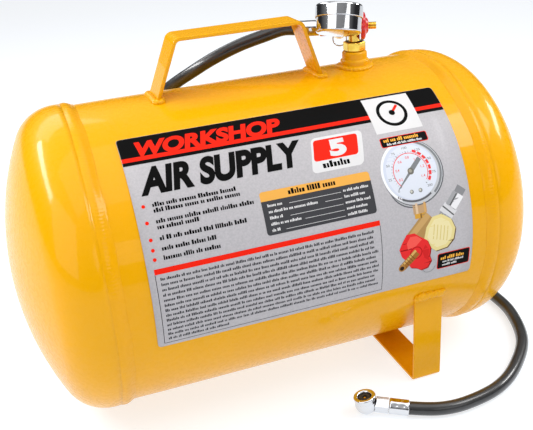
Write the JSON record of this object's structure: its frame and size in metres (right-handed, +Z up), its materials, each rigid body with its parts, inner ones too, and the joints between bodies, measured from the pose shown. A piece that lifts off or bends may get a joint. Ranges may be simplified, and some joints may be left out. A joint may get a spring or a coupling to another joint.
{
  "type": "portable air tank",
  "caption": "Portable welded steel air tank with a carry handle, one strap leg, a brass valve manifold with a small gauge, and a rubber hose that ends in a tyre chuck.",
  "frame": {"origin": "on the floor, under the middle of the tank", "axes": "+X along the tank's axis, towards the end with the leg and the manifold; +Y to the rear, away from the label; +Z up"},
  "size_m": [0.4521, 0.439, 0.3164],
  "materials": {
    "tank_paint": "gloss powder coat",
    "weld_paint": "gloss powder coat over weld bead",
    "label_vinyl": "satin printed vinyl",
    "fitting_brass": "turned",
    "bright_chrome": "polished",
    "spring_steel": "drawn wire",
    "tube_bronze": "drawn tube",
    "knob_plastic": "moulded gloss",
    "dial_white": "matt",
    "pointer_black": "satin",
    "hose_rubber": "satin",
    "lens_clear": "polished"
  },
  "bodies": {
    "tank": {"tank_shell": "tank_paint", "left_head": "tank_paint", "right_head": "tank_paint", "left_seam_weld": "weld_paint", "right_seam_weld": "weld_paint", "tank_bung": "tank_paint", "bung_weld": "weld_paint", "support_leg": "tank_paint", "leg_front_weld": "weld_paint", "leg_rear_weld": "weld_paint", "carry_handle": "tank_paint", "handle_left_weld": "weld_paint", "handle_right_weld": "weld_paint", "tank_label": "label_vinyl", "tank_nipple": "fitting_brass", "manifold_body": "fitting_brass", "manifold_plug": "fitting_brass", "valve_gland": "fitting_brass", "safety_valve_body": "fitting_brass", "safety_valve_spring": "spring_steel", "gauge_stem": "fitting_brass", "gauge_case": "bright_chrome", "gauge_bezel": "bright_chrome", "gauge_lens": "lens_clear", "gauge_dial": "dial_white", "gauge_movement": "fitting_brass", "gauge_bourdon_tube": "tube_bronze", "hose_nut": "fitting_brass", "hose_tank_ferrule": "bright_chrome", "air_hose": "hose_rubber", "hose_chuck_ferrule": "bright_chrome", "chuck_neck": "bright_chrome", "chuck_body": "bright_chrome", "chuck_seal": "hose_rubber", "chuck_spring": "spring_steel"},
    "spindle": {"valve_spindle": "fitting_brass"},
    "knob": {"valve_knob": "knob_plastic"},
    "core_pin": {"inlet_core_pin": "fitting_brass"},
    "pointer": {"gauge_pointer": "pointer_black"},
    "safety_stem": {"safety_valve_stem": "fitting_brass"},
    "pull_ring": {"safety_valve_ring": "spring_steel"},
    "tyre_pin": {"chuck_pin": "fitting_brass"}
  },
  "joints": [
    {"name": "valve_spindle_slide", "type": "slide", "parent": "tank", "child": "spindle", "axis": [0.9063, -0.4226, 0], "range_m": [0, 0.0015]},
    {"name": "valve_knob_turn", "type": "hinge", "parent": "spindle", "child": "knob", "pos_m": [0.0916, 0, 0.287], "axis": [0.9063, -0.4226, 0], "range_deg": [0, 540]},
    {"name": "inlet_core_press", "type": "slide", "parent": "spindle", "child": "core_pin", "axis": [0.9063, -0.4226, 0], "range_m": [-0.001, 0], "stiffness_N_per_m": 300, "springref_m": 0.0005},
    {"name": "gauge_pointer_turn", "type": "hinge", "parent": "tank", "child": "pointer", "pos_m": [0.06735, -0.02306, 0.29934], "axis": [0.2009, 0.2938, 0.9345], "range_deg": [-270, 0], "stiffness_Nm_per_rad": 0.0003, "springref_deg": 11.46},
    {"name": "safety_valve_pull", "type": "slide", "parent": "tank", "child": "safety_stem", "axis": [0.3956, 0.8484, -0.3518], "range_m": [0, 0.003], "stiffness_N_per_m": 1500, "springref_m": -0.001, "deforming": ["safety_valve_spring"]},
    {"name": "pull_ring_swing", "type": "hinge", "parent": "safety_stem", "child": "pull_ring", "pos_m": [0.09174, 0.02988, 0.2768], "axis": [0.9063, -0.4226, 0], "range_deg": [-50, 90]},
    {"name": "chuck_pin_press", "type": "slide", "parent": "tank", "child": "tyre_pin", "axis": [-0.1518, 0.0842, 0.9848], "range_m": [-0.0015, 0], "stiffness_N_per_m": 500, "springref_m": 0.0005, "deforming": ["chuck_spring"]}
  ],
  "couplings": [
    {"joint": "valve_knob_turn", "follows": "valve_spindle_slide", "rad_per_m": 6283.2}
  ]
}
